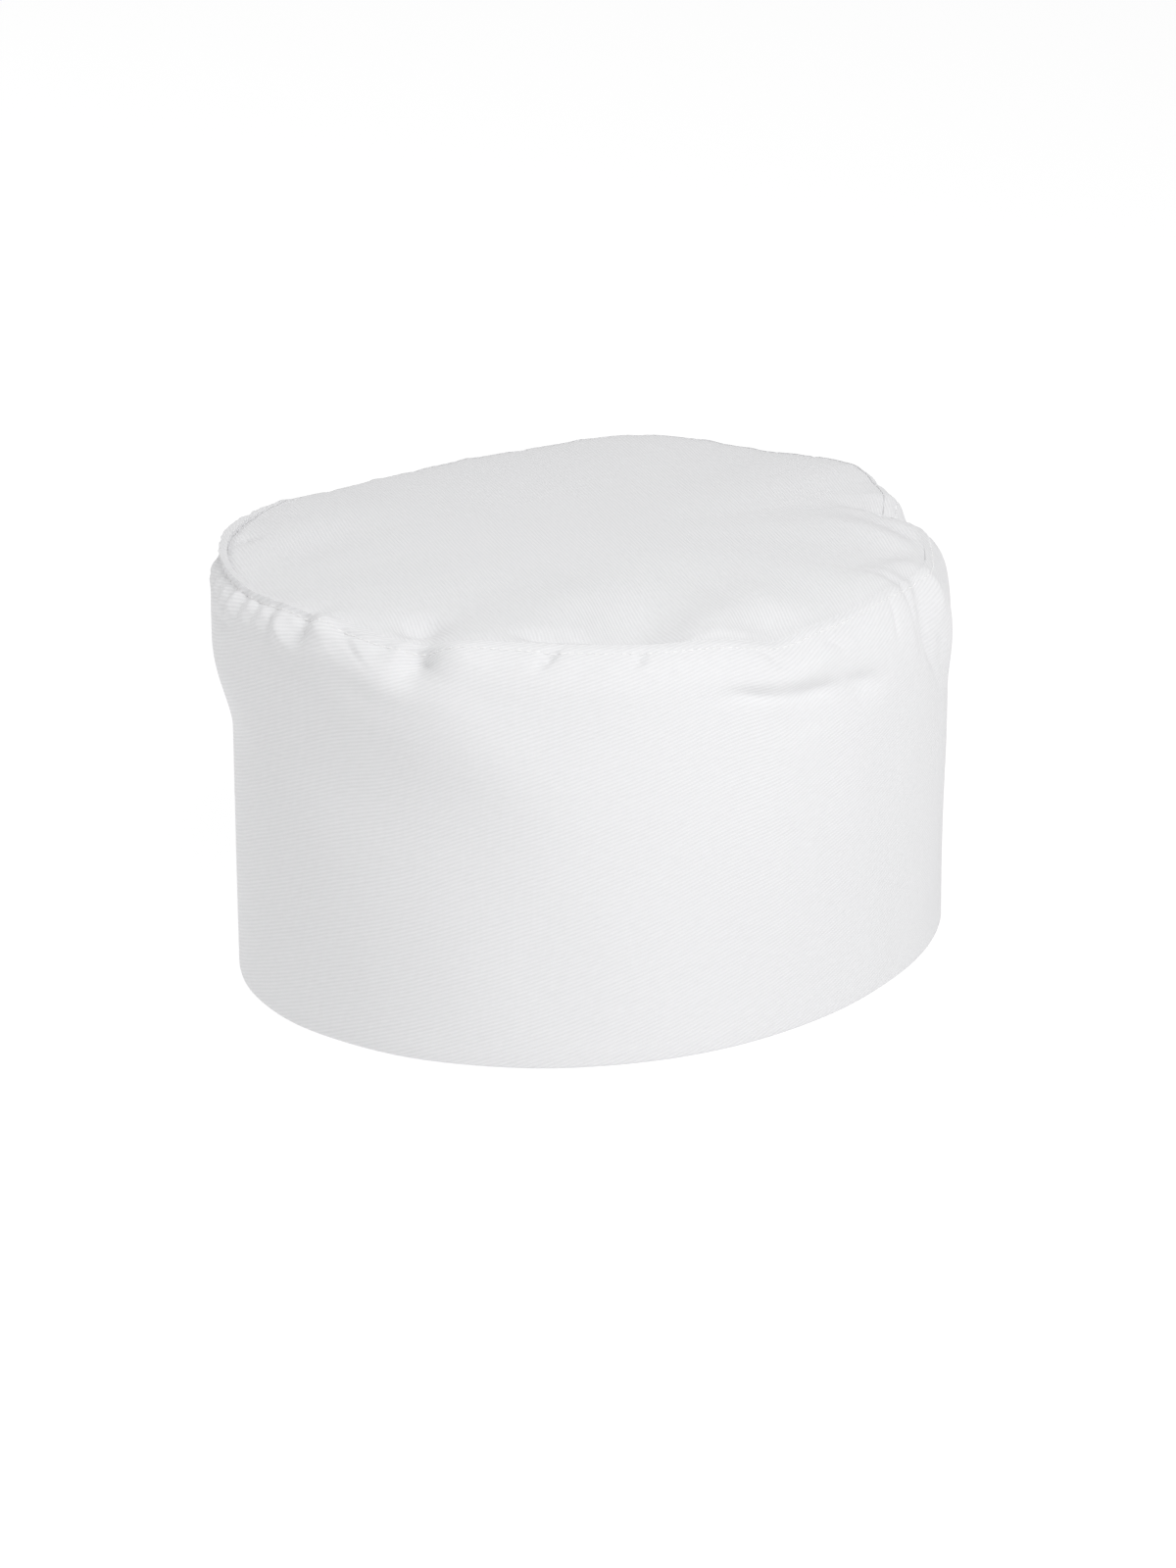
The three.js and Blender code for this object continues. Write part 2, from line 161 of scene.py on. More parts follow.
# Folds and gathers of the band. below (the seam, along the cloth), along and across are shares of
# CAP_HEIGHT, slant is in degrees above the girth, lift is a share of FOLD_DEPTH.
FOLD_COLUMNS = ("azimuth", "below", "along", "across", "slant", "lift")
FOLDS = (
    # the long diagonal swell at the left front, and the hollow under it
    (-3, 0.084, 0.133, 0.060, -38, 0.50),
    (9.5, 0.155, 0.171, 0.086, -34, 0.80),
    (24, 0.270, 0.210, 0.105, -30, 0.55),
    (-14, 0.248, 0.229, 0.114, -40, -0.70),
    (8, 0.400, 0.248, 0.133, -34, -0.50),
    (0, 0.062, 0.100, 0.036, -8, 0.30),
    (11, 0.100, 0.105, 0.042, -16, 0.20),
    (18, 0.145, 0.105, 0.050, -34, 0.35),
    (-10, 0.140, 0.110, 0.040, -28, -0.50),
    (4, 0.138, 0.110, 0.038, -15, -0.42),
    # short gathers under the welt at the left
    (-29, 0.065, 0.034, 0.013, 90, 0.35),
    (-27, 0.062, 0.026, 0.010, 90, -0.25),
    (-24.7, 0.055, 0.034, 0.016, 90, 0.65),
    (-22.2, 0.055, 0.026, 0.011, 90, -0.45),
    (-19.8, 0.050, 0.022, 0.012, 80, 0.28),
    (-17.7, 0.050, 0.022, 0.010, 90, -0.30),
    (-15.4, 0.048, 0.024, 0.012, 84, 0.32),
    (-13.2, 0.052, 0.028, 0.011, 105, -0.40),
    (-10.2, 0.060, 0.040, 0.017, 122, 0.80),
    (-27, 0.114, 0.110, 0.030, 4, -0.50),
    (-18, 0.118, 0.070, 0.026, 4, -0.45),
    (-30, 0.185, 0.110, 0.050, 0, -0.28),
    (-6.0, 0.050, 0.036, 0.024, 104, -1.25),
    (-2.0, 0.029, 0.036, 0.023, -6, 1.40),
    (5.5, 0.036, 0.034, 0.022, -14, 0.50),
    (11, 0.030, 0.030, 0.022, 70, 0.55),
    (13.8, 0.050, 0.045, 0.042, 92, -2.15),
    (20.5, 0.045, 0.050, 0.036, 0, 0.60),
    (-33.5, 0.060, 0.034, 0.014, 90, 0.40),
    (-37.5, 0.062, 0.034, 0.014, 90, -0.35),
    (-42, 0.060, 0.038, 0.016, 90, 0.45),
    (-47, 0.065, 0.038, 0.016, 90, -0.35),
    (-53, 0.060, 0.038, 0.018, 90, 0.45),
    # small nicks along the front seam
    (32.8, 0.036, 0.030, 0.012, 42, -0.80),
    (37.8, 0.065, 0.048, 0.016, 25, -0.22),
    (46.5, 0.036, 0.023, 0.012, 45, -0.60),
    (70, 0.045, 0.036, 0.010, -32, -0.30),
    (84.3, 0.064, 0.046, 0.011, -32, -0.32),
    # the crescent crease at the right front, under a puffed edge
    (66, 0.138, 0.080, 0.022, 0, -0.80),
    (78, 0.154, 0.105, 0.025, -11, -1.05),
    (91, 0.184, 0.075, 0.031, -17, -1.00),
    (71, 0.004, 0.085, 0.030, 0, -0.35),
    (75, 0.198, 0.150, 0.050, -7, -0.50),
    (76, 0.084, 0.200, 0.036, 3, 0.50),
    # the pleat that hangs from the right end of the seam
    (109.5, 0.080, 0.100, 0.029, 95, -1.15),
    (114.5, 0.100, 0.115, 0.052, 94, -2.00),
    (116, 0.215, 0.085, 0.026, -55, -0.80),
    (120, 0.210, 0.090, 0.048, -60, -0.75),
    (101.4, 0.075, 0.045, 0.010, 80, -0.30),
    (124, 0.130, 0.120, 0.040, 92, 0.45),
    (120.5, 0.070, 0.060, 0.022, 96, 0.45),
    # the deep notch at the right back, and its puckers
    (149, 0.140, 0.125, 0.064, 90, -3.50),
    (139, 0.070, 0.080, 0.050, 90, 0.40),
    (156, 0.020, 0.085, 0.052, 90, -1.65),
    (127, 0.250, 0.100, 0.050, 90, 0.35),
    (153, 0.030, 0.040, 0.013, 90, 0.35),
    (157, 0.030, 0.040, 0.013, 90, -0.35),
    (161, 0.035, 0.045, 0.015, 90, 0.35),
    (166, 0.035, 0.045, 0.015, 90, -0.30),
    # plain gathers round the hidden back
    (172, 0.045, 0.050, 0.018, 90, 0.30),
    (-178, 0.050, 0.060, 0.020, 95, -0.28),
    (-168, 0.045, 0.050, 0.020, 88, 0.30),
    (-160, 0.055, 0.070, 0.024, 100, 0.35),
    (-149, 0.045, 0.050, 0.020, 90, -0.30),
    (-139, 0.050, 0.060, 0.022, 84, 0.30),
    (-128, 0.045, 0.050, 0.020, 92, -0.32),
    (-117, 0.055, 0.070, 0.026, 98, 0.35),
    (-106, 0.045, 0.050, 0.020, 90, -0.30),
    (-97, 0.050, 0.060, 0.022, 90, 0.35),
    (-86, 0.045, 0.050, 0.020, 86, -0.35),
    (-75, 0.055, 0.060, 0.022, 90, 0.40),
    (-64, 0.050, 0.050, 0.020, 90, -0.40),
    # broad, shallow slack in the hidden half of the wall
    (-152, 0.300, 0.260, 0.120, 62, 0.45),
    (-128, 0.380, 0.240, 0.110, 66, -0.45),
    (-100, 0.330, 0.260, 0.120, 70, 0.40),
    (-74, 0.500, 0.240, 0.120, 58, -0.35),
    (166, 0.420, 0.260, 0.120, 112, -0.40),
)

# The topstitched welt around the cap: below is a share of STITCH_BELOW, pull of STITCH_PULL, welt of
# WELT_HEIGHT, tuck of WELT_TUCK.
WELT_COLUMNS = ("azimuth", "below", "pull", "welt", "tuck")
WELT = (
    (-175, 1.50, 0.12, 0.05, 0.00),
    (-120, 1.40, 0.12, 0.05, 0.00),
    (-85, 1.00, 0.40, 0.12, 0.20),
    (-72, 1.00, 0.90, 0.65, 0.70),
    (-60, 1.00, 1.15, 1.10, 1.00),
    (-42, 1.00, 1.20, 1.25, 1.00),
    (-32, 1.00, 1.10, 1.15, 0.90),
    (-24, 1.00, 1.00, 0.75, 0.70),
    (-16, 0.95, 0.95, 0.55, 0.50),
    (-8, 0.92, 0.95, 0.35, 0.35),
    (0, 1.05, 0.90, 0.25, 0.25),
    (6, 1.10, 0.80, 0.20, 0.25),
    (12, 0.95, 0.50, 0.15, 0.20),
    (22, 0.90, 0.28, 0.10, 0.15),
    (35, 0.95, 0.25, 0.10, 0.15),
    (70, 1.00, 0.16, 0.06, 0.12),
    (100, 1.00, 0.18, 0.06, 0.12),
    (135, 1.20, 0.20, 0.08, 0.10),
    (160, 1.40, 0.15, 0.05, 0.00),
)

# Bumps and hollows of the top panel. x is a share of half the rim's width and y of half its length,
# along and across of half the rim's width, heading in degrees from +X, lift of DENT_DEPTH.
DENT_COLUMNS = ("x", "y", "along", "across", "heading", "lift")
DENTS = (
    # the two soft swells and the hollow between them, behind the front seam
    (0.41, -0.47, 0.22, 0.120, 112, 0.80),
    (0.63, -0.52, 0.28, 0.140, 118, -2.60),
    (0.79, -0.25, 0.26, 0.120, 112, 1.30),
    (0.55, -0.10, 0.26, 0.120, 20, -0.15),
    # nicks where the seam draws the panel in
    (0.175, -0.835, 0.060, 0.062, 90, -1.60),
    (0.52, -0.735, 0.060, 0.036, 30, -1.00),
    (0.56, -0.66, 0.060, 0.036, 60, -0.80),
    (0.865, -0.240, 0.170, 0.055, 74, -0.70),
    # folds that run out from the right end of the seam
    (0.62, 0.59, 0.170, 0.036, -8, -0.50),
    (0.63, 0.51, 0.150, 0.045, -4, 0.40),
    (0.75, 0.38, 0.170, 0.048, 98, -0.50),
    (0.84, 0.28, 0.180, 0.070, 98, 0.45),
    (0.44, 0.73, 0.130, 0.030, 24, -0.30),
    (0.46, 0.66, 0.130, 0.045, 14, 0.25),
    # faint waves at the left
    (-0.56, -0.54, 0.28, 0.100, 94, -0.45),
    (-0.72, -0.40, 0.24, 0.100, 94, 0.30),
    (-0.81, -0.565, 0.060, 0.045, 60, -0.60),
)

# Twill: ribs a spacing apart, each made of short floats that step on from rib to rib. Angles in degrees.
TWILL_SPACING = 0.9
TWILL_DEPTH = 0.06
BAND_TWILL_ANGLE = 20.0
PANEL_TWILL_ANGLE = -34.0
RIB_DRIFT = 0.6
FLOATS_PER_RIB = 1.15
FLOAT_STEP = 0.37
YARN_LENGTHWISE = 0.35
WHITE_COTTON = (0.80, 0.80, 0.81)
COTTON_ROUGHNESS = 0.9
COTTON_SHEEN = 0.12
SHEEN_ROUGHNESS = 0.6
COTTON_SPECULAR = 0.25

# Unevenness of the surfaces: scale, on places in metres, and detail. The yarn's is on places in ribs.
DRIFT_NOISE = (60.0, 1.0)
FUZZ_NOISE = (3200.0, 2.0)
CLOUD_NOISE = (22.0, 3.0)
YARN_NOISE = (1.0, 3.0)
LAY_NOISE = (2600.0, 2.0)
GRAIN_NOISE = (30.0, 2.0)

# What each part of the weave adds to its height and to its shade. The ribs' part of the shade is painted
# shade: darker down in the grooves between ribs, lighter on the crests.
FLOAT_HEIGHT = 0.2
YARN_HEIGHT = 0.35
FUZZ_HEIGHT = 0.1
# Painted shade of the twill: the cloth's tone down in the grooves between ribs, and how much lighter the rib
# crests are
GROOVE_PAINTED_SHADE = 0.93
RIB_PAINTED_SHADE_LIFT = 0.07
YARN_SHADE = 0.07
FUZZ_SHADE = 0.04
CLOUD_SHADE = 0.03
FUZZ_ROUGHNESS = 0.08

# Thread
THREAD_SHADE = 0.86
LAY_SHADE = 0.12
THREAD_ROUGHNESS = 0.6
LAY_ROUGHNESS = 0.2
THREAD_SPECULAR = 0.3

# Floor and light
FLOOR_RADIUS = 6.0
FLOOR_SIDES = 64
FLOOR_GREY = (0.24, 0.24, 0.24, 1.0)
FLOOR_ROUGHNESS = 0.85
FLOOR_GRAIN = 0.05
FLOOR_GLOW = 0.84
WORLD_LIGHT = 0.44
WHITE = (1.0, 1.0, 1.0, 1.0)

# Soft square lamps that face the cap: angles in degrees, distance and size in metres, power in watts
LAMP_COLUMNS = ("name", "azimuth", "elevation", "distance", "size", "power")
LAMPS = (
    ("key_light", 70, 46, 1.1, 0.7, 7.0),
    ("top_light", 0, 90, 1.6, 1.4, 1.0),
    ("fill_light", -75, 38, 1.6, 1.1, 6.0),
)

# Photograph's viewpoint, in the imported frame
CAMERA_AT = (0.71558, -0.87625, 0.45054)
CAMERA_AZIMUTH = 39.2
CAMERA_ELEVATION = 20.0
CAMERA_LENS = 107.72
CAMERA_SENSOR = 36.0
CAMERA_CLIP = (0.01, 50.0)


def as_rows(columns, table):
    """A table's rows with their columns' names."""
    return [dict(zip(columns, values)) for values in table]


folds = as_rows(FOLD_COLUMNS, FOLDS)
dents = as_rows(DENT_COLUMNS, DENTS)


def around(azimuth, columns, table):
    """Every column of a table at the azimuths, on smooth closed curves through its rows."""
    rows = np.array(table, float)
    at = rows[:, 0]
    angle = (azimuth - at[0]) % 360 + at[0]
    knots = np.concatenate([[at[-1] - 360], at, [at[0] + 360, at[1] + 360]])
    i = np.clip(np.searchsorted(knots, angle, side="right") - 1, 1, len(knots) - 3)
    step = knots[i + 1] - knots[i]
    t = (angle - knots[i]) / step
    values = {}
    for k, name in enumerate(columns[1:], start=1):
        column = np.concatenate([rows[-1:, k], rows[:, k], rows[:2, k]])
        slope0 = (column[i + 1] - column[i - 1]) / (knots[i + 1] - knots[i - 1]) * step
        slope1 = (column[i + 2] - column[i]) / (knots[i + 2] - knots[i]) * step
        values[name] = (
            (2 * t**3 - 3 * t**2 + 1) * column[i]
            + (t**3 - 2 * t**2 + t) * slope0
            + (3 * t**2 - 2 * t**3) * column[i + 1]
            + (t**3 - t**2) * slope1
        )
    return values


def oval_radius(azimuth):
    """The rim's rounded oval."""
    side = np.abs(np.sin(np.radians(azimuth))) / HALF_WIDTH
    front = np.abs(np.cos(np.radians(azimuth))) / HALF_LENGTH
    return (side**OVAL_POWER + front**OVAL_POWER) ** (-1 / OVAL_POWER)


def hump(away, reach):
    """1 at the middle, falling off on both sides."""
    return np.exp(-((away / reach) ** 2))


def smooth_step(value, low, high):
    """0 up to low, 1 from high on, and a smooth rise between."""
    t = np.clip((value - low) / (high - low), 0, 1)
    return t * t * (3 - 2 * t)


def ripple(azimuth, waves, first):
    """A seeded, uneven wave round the cap, about 1 high."""
    phases = np.random.default_rng(RIPPLE_SEED + first).uniform(0, 2 * np.pi, len(waves))
    parts = [np.sin(np.radians(azimuth) * count + phase) for count, phase in zip(waves, phases)]
    return sum(parts) / math.sqrt(len(waves))


def fold_lift(azimuth, below):
    """How far the folds and the topstitched welt lift the band's cloth."""
    lift = np.zeros(np.broadcast(azimuth, below).shape)
    for fold in folds:
        girth = np.radians((azimuth - fold["azimuth"] + 180) % 360 - 180) * GIRTH_RADIUS
        rise = fold["below"] * CAP_HEIGHT - below
        cos = math.cos(math.radians(fold["slant"]))
        sin = math.sin(math.radians(fold["slant"]))
        along = hump(girth * cos + rise * sin, fold["along"] * CAP_HEIGHT)
        across = hump(rise * cos - girth * sin, fold["across"] * CAP_HEIGHT)
        lift = lift + fold["lift"] * FOLD_DEPTH * along * across
    slack = ripple(azimuth, SLACK_WAVES, 1) * np.sin(below * SLACK_DRIFT * np.pi)
    lift = lift + SLACK_HEIGHT * slack
    from_join = np.radians((azimuth - JOIN_AZIMUTH + 180) % 360 - 180) * GIRTH_RADIUS
    lift = lift - JOIN_DEPTH * hump(from_join, JOIN_REACH)
    welt = around(azimuth, WELT_COLUMNS, WELT)
    puckers = welt["pull"] * PUCKER_HEIGHT * ripple(azimuth - below, PUCKER_WAVES, 0)
    lift = lift + puckers * hump(below - PUCKER_MIDDLE, PUCKER_REACH)
    line = welt["below"] * STITCH_BELOW
    lift = lift - welt["pull"] * STITCH_PULL * hump(below - line, STITCH_GROOVE)
    return lift + welt["welt"] * WELT_HEIGHT * hump(below - WELT_MIDDLE * line, WELT_REACH * line)


def band_point(azimuth, wall, roll, depth=0.0):
    """The band's face: wall is 0 to 1 up the straight wall, roll 0 to 1 over the shoulder to the seam, and
    depth is measured into the cloth."""
    azimuth, wall, roll, depth = np.broadcast_arrays(azimuth, wall, roll, depth)
    section = around(azimuth, SECTION_COLUMNS, SECTIONS)
    seam_height = section["seam"] * CAP_HEIGHT
    roll_height = section["roll"] * ROLL_HEIGHT
    inset = section["inset"] * SEAM_INSET
    wall_top = seam_height - roll_height
    height = wall * wall_top + roll * roll_height
    tilt = np.arctan2(ROLL_POWER * inset * roll ** (ROLL_POWER - 1), roll_height)
    cut = tilt + (np.pi / 2 - tilt) * roll**CUT_POWER
    below = (1 - roll) * np.hypot(roll_height, inset) + (1 - wall) * wall_top
    swell = smooth_step(height / seam_height, *BULGE_SPAN)
    lift = fold_lift(azimuth, below)
    radius = (
        oval_radius(azimuth)
        + section["wall"] * BULGE_DEPTH
        + section["bulge"] * BULGE_DEPTH * swell
        - inset * roll**ROLL_POWER
        + lift * np.cos(tilt)
        - depth * np.cos(cut)
    )
    tuck = around(azimuth, WELT_COLUMNS, WELT)["tuck"] * WELT_TUCK
    pinch = SEAM_PINCH * hump(below, PINCH_REACH) + tuck * hump(below, TUCK_REACH)
    z = height + lift * np.sin(tilt) - pinch - depth * np.sin(cut)
    angle = np.radians(azimuth)
    return np.stack([radius * np.sin(angle), -radius * np.cos(angle), z], -1)


def panel_point(azimuth, share):
    """The top panel's upper face; share is 0 at the middle and 1 at the seam."""
    azimuth, share = np.broadcast_arrays(azimuth, share)
    section = around(azimuth, SECTION_COLUMNS, SECTIONS)
    seam = band_point(azimuth, 1.0, 1.0)
    edge_radius = np.hypot(seam[..., 0], seam[..., 1]) - SEAM_GAP
    edge_height = seam[..., 2] - section["lip"] * LIP_DROP
    calm_height = section["seam"] * CAP_HEIGHT - SEAM_PINCH - section["lip"] * LIP_DROP
    middle = CAP_HEIGHT + PANEL_RISE
    inward = (1 - share) * edge_radius
    angle = np.radians(azimuth)
    x = share * edge_radius * np.sin(angle)
    y = -share * edge_radius * np.cos(angle)
    z = (
        middle
        + (calm_height - middle) * share**EDGE_POWER
        + (edge_height - calm_height) * hump(inward, PANEL_FADE)
        + PANEL_PUFF * (1 - np.exp(-inward / PUFF_REACH))
    )
    free = 1 - hump(inward, DENT_FADE)
    for dent in dents:
        east = x - dent["x"] * HALF_WIDTH
        north = y - dent["y"] * HALF_LENGTH
        cos = math.cos(math.radians(dent["heading"]))
        sin = math.sin(math.radians(dent["heading"]))
        along = hump(east * cos + north * sin, dent["along"] * HALF_WIDTH)
        across = hump(north * cos - east * sin, dent["across"] * HALF_WIDTH)
        z = z + free * dent["lift"] * DENT_DEPTH * along * across
    return np.stack([x, y, z], -1)


def in_frame(points):
    """Millimetres round the rim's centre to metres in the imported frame."""
    return (points + np.array([*CENTRE_SHIFT, 0.0])) * MM


def length_along(points, axis):
    """Running length along one axis of a grid of points, starting at 0."""
    steps = np.linalg.norm(np.diff(points, axis=axis), axis=-1)
    pad = [(0, 0), (0, 0)]
    pad[axis] = (1, 0)
    return np.cumsum(np.pad(steps, pad), axis=axis)


def sheet_mesh(name, grid, cloth, wrap_rows=False, poles=()):
    """A mesh of quads over a grid of rows by columns, whose columns close around the cap. cloth holds the
    cloth's own u and v in metres, with one column more. poles closes the first and last rows to points."""
    rows, columns = grid.shape[:2]
    vertices = [tuple(p) for p in grid.reshape(-1, 3)]
    faces, uvs = [], []
    last = rows if wrap_rows else rows - 1
    for r in range(last):
        up = (r + 1) % rows
        for c in range(columns):
            right = (c + 1) % columns
            faces.append((r * columns + c, r * columns + right, up * columns + right, up * columns + c))
            corners = ((r, c), (r, c + 1), (r + 1, c + 1), (r + 1, c))
            uvs.extend(tuple(cloth[i, j]) for i, j in corners)
    for row, point, uv in poles:
        vertices.append(tuple(point))
        tip = len(vertices) - 1
        for c in range(columns):
            pair = (c + 1, c) if row == 0 else (c, c + 1)
            faces.append((tip, *(row * columns + k % columns for k in pair)))
            uvs.extend((tuple(uv), *(tuple(cloth[row, k]) for k in pair)))
    mesh = bpy.data.meshes.new(name)
    mesh.from_pydata(vertices, [], faces)
    layer = mesh.uv_layers.new(name="cloth")
    layer.uv.foreach_set("vector", np.array(uvs, np.float32).ravel())
    mesh.shade_smooth()
    mesh.set_sharp_from_angle(angle=math.radians(SHARP_ANGLE))
    mesh.validate()
    mesh.update()
    piece = bpy.data.objects.new(name, mesh)
    bpy.context.scene.collection.objects.link(piece)
    return piece


def azimuths():
    """Evenly spread round the cap, starting at the back."""
    return -180 + 360 * np.arange(AROUND) / AROUND


def build_band():
    """Folded hem, outer face up to the seam, then the inner face back down."""
    azimuth = azimuths()[None, :]
    low = np.linspace(0, HIGH_WALL_START, LOW_WALL_ROWS, endpoint=False)
    high = np.linspace(HIGH_WALL_START, 1, HIGH_WALL_ROWS, endpoint=False)
    wall = np.concatenate([low[1:], high])
    roll = np.linspace(0, 1, ROLL_ROWS)
    outside = np.concatenate(
        [
            band_point(azimuth, wall[:, None], 0.0),
            band_point(azimuth, 1.0, roll[:, None]),
        ]
    )
    inside_roll = np.linspace(1, 0, INSIDE_ROLL_ROWS)
    inside_wall = np.linspace(1, 0, INSIDE_WALL_ROWS)[1:-1]
    inside = np.concatenate(
        [
            band_point(azimuth, 1.0, inside_roll[:, None], BAND_WALL),
            band_point(azimuth, inside_wall[:, None], 0.0, BAND_WALL),
        ]
    )
    turn = np.linspace(np.pi, 0, HEM_TURNS)[:, None]
    hem = band_point(azimuth, 0.0, 0.0, HEM_RADIUS * (1 - np.cos(turn)))
    hem[..., 2] = HEM_RADIUS * (1 - np.sin(turn))
    grid = np.concatenate([hem, outside, inside])
    closed = np.concatenate([grid, grid[:1]])
    closed = np.concatenate([closed, closed[:, :1]], axis=1)
    rim = closed[HEM_TURNS - 1]
    girth = np.concatenate([[0], np.cumsum(np.linalg.norm(np.diff(rim, axis=0), axis=-1))])
    up = length_along(closed, 0).mean(axis=1)
    cloth = np.stack(np.broadcast_arrays(girth[None, :], up[:, None]), -1) * MM
    return sheet_mesh("band_cloth", in_frame(grid), cloth, wrap_rows=True)


def build_panel():
    """Under face from the middle out, then the upper face back in."""
    azimuth = azimuths()[None, :]
    drop = np.array([0, 0, -PANEL_WALL])
    rings = np.concatenate([np.linspace(first, last, count) for first, last, count in PANEL_RING_SPANS])
    upper = panel_point(azimuth, rings[::-1, None])
    under = panel_point(azimuth, np.array(PANEL_UNDER_RINGS)[:, None]) + drop
    grid = np.concatenate([under, upper])
    middle = panel_point(np.array(0.0), np.array(0.0))
    looped = np.concatenate([grid, grid[:, :1]], axis=1)
    cloth = looped[..., :2] * MM
    poles = (
        (0, in_frame(middle + drop), middle[:2] * MM),
        (len(grid) - 1, in_frame(middle), middle[:2] * MM),
    )
    return sheet_mesh("panel_cloth", in_frame(grid), cloth, poles=poles)


def on_band(azimuth, below):
    """Points of the band's face a distance below the seam, and its outward directions there."""

    def at(azimuth, below):
        section = around(azimuth, SECTION_COLUMNS, SECTIONS)
        roll = 1 - below / np.hypot(section["roll"] * ROLL_HEIGHT, section["inset"] * SEAM_INSET)
        return band_point(azimuth, 1.0, roll)

    here = at(azimuth, below)
    away = np.cross(at(azimuth + SLOPE_STEP, below) - here, at(azimuth, below - SLOPE_STEP) - here)
    return here, away / np.linalg.norm(away, axis=-1, keepdims=True)


def add_node(tree, kind, settings=None, inputs=None, output=0):
    """The output asked for of a new node. An input that is a socket is linked, and any other is set."""
    made = tree.nodes.new(kind)
    for name, value in (settings or {}).items():
        setattr(made, name, value)
    for name, value in (inputs or {}).items():
        if isinstance(value, bpy.types.NodeSocket):
            tree.links.new(value, made.inputs[name])
        else:
            made.inputs[name].default_value = value
    return made.outputs[output] if made.outputs else None


def stitch_tree():
    """Geometry nodes that lay short rounded stitches along a line, each turned along it and facing away
    from the cloth."""
    tree = bpy.data.node_groups.new("topstitches", "GeometryNodeTree")
    kinds = {
        "Line": "NodeSocketGeometry",
        "Pitch": "NodeSocketFloat",
        "Length": "NodeSocketFloat",
        "Width": "NodeSocketFloat",
        "Lean": "NodeSocketFloat",
        "Thread": "NodeSocketMaterial",
    }
    for name, kind in kinds.items():
        tree.interface.new_socket(name, in_out="INPUT", socket_type=kind)
    tree.interface.new_socket("Stitches", in_out="OUTPUT", socket_type="NodeSocketGeometry")
    given = tree.nodes.new("NodeGroupInput").outputs

    def node(*description):
        return add_node(tree, *description)

    def uneven(size, spread, seed):
        low, high = spread
        share = node("FunctionNodeRandomValue", {"data_type": "FLOAT"}, {2: low, 3: high, "Seed": seed}, 1)
        return node("ShaderNodeMath", {"operation": "MULTIPLY"}, {0: size, 1: share})

    line = node("GeometryNodeMeshToCurve", None, {"Mesh": given["Line"]})
    spots = node("GeometryNodeResampleCurve", {"mode": "LENGTH"}, {"Curve": line, "Length": given["Pitch"]})
    rounding = {"Segments": STITCH_SEGMENTS, "Rings": STITCH_RINGS, "Radius": 0.5}
    ball = node("GeometryNodeMeshUVSphere", None, rounding)
    away = node("GeometryNodeInputNamedAttribute", {"data_type": "FLOAT_VECTOR"}, {"Name": "away"})
    tangent = node("GeometryNodeInputTangent")
    along = node("FunctionNodeAlignRotationToVector", {"axis": "X"}, {"Vector": tangent})
    outward = {"axis": "Z", "pivot_axis": "X"}
    facing = node("FunctionNodeAlignRotationToVector", outward, {"Rotation": along, "Vector": away})
    lean = uneven(given["Lean"], UNEVEN_LEAN, STITCH_SEED)
    turn = node("ShaderNodeCombineXYZ", None, {"Z": lean})
    turned = {"Rotation": facing, "Rotate By": turn}
    leaning = node("FunctionNodeRotateRotation", {"rotation_space": "LOCAL"}, turned)
    length = uneven(given["Length"], UNEVEN_LENGTH, STITCH_SEED + 1)
    width = uneven(given["Width"], UNEVEN_WIDTH, STITCH_SEED + 2)
    size = node("ShaderNodeCombineXYZ", None, {"X": length, "Y": width, "Z": width})
    placing = {"Points": spots, "Instance": ball, "Rotation": leaning, "Scale": size}
    stitches = node("GeometryNodeInstanceOnPoints", None, placing)
    solid = node("GeometryNodeRealizeInstances", None, {"Geometry": stitches})
    sewn = node("GeometryNodeSetMaterial", None, {"Geometry": solid, "Material": given["Thread"]})
    node("NodeGroupOutput", None, {"Stitches": sewn})
    return tree


def build_stitches(thread):
    """Topstitches all round the cap, in the welt's groove."""
    azimuth = azimuths()
    below = around(azimuth, WELT_COLUMNS, WELT)["below"] * STITCH_BELOW
    points, away = on_band(azimuth, below)
    mesh = bpy.data.meshes.new("topstitches")
    edges = [(k, (k + 1) % AROUND) for k in range(AROUND)]
    mesh.from_pydata([tuple(p) for p in in_frame(points + away * THREAD_RISE)], edges, [])
    layer = mesh.attributes.new("away", "FLOAT_VECTOR", "POINT")
    layer.data.foreach_set("vector", away.ravel())
    piece = bpy.data.objects.new("topstitches", mesh)
    bpy.context.scene.collection.objects.link(piece)
    layout = piece.modifiers.new("topstitches", "NODES")
    layout.node_group = stitch_tree()
    values = {
        "Pitch": STITCH_PITCH * MM,
        "Length": STITCH_LENGTH * MM,
        "Width": THREAD_WIDTH * MM,
        "Lean": math.radians(STITCH_LEAN),
        "Thread": thread,
    }
    for socket in layout.node_group.interface.items_tree:
        if socket.name in values:
            layout[socket.identifier] = values[socket.name]
    seen = piece.evaluated_get(bpy.context.evaluated_depsgraph_get())
    sewn = bpy.data.meshes.new_from_object(seen)
    piece.modifiers.clear()
    piece.data = sewn
    sewn.shade_smooth()
    return piece


class Wire:
    """A socket that takes part in sums, so that a pattern reads as a formula."""

    def __init__(self, finish, socket):
        self.finish = finish
        self.socket = socket

    def maths(self, operation, *values):
        """The result of one step of arithmetic on sockets and numbers."""
        return self.finish.node("ShaderNodeMath", {"operation": operation}, dict(enumerate(values)))

    def __add__(self, other):
        return self.maths("ADD", self, other)

    def __radd__(self, other):
        return self.maths("ADD", other, self)

    def __sub__(self, other):
        return self.maths("SUBTRACT", self, other)

    def __mul__(self, other):
        return self.maths("MULTIPLY", self, other)

    def __rmul__(self, other):
        return self.maths("MULTIPLY", other, self)

    def wave(self):
        """0 to 1 and back, once for each whole step."""
        return 0.5 + 0.5 * self.maths("COSINE", self * (2 * math.pi))

    def whole(self):
        """The whole steps that have passed."""
        return self.maths("FLOOR", self)


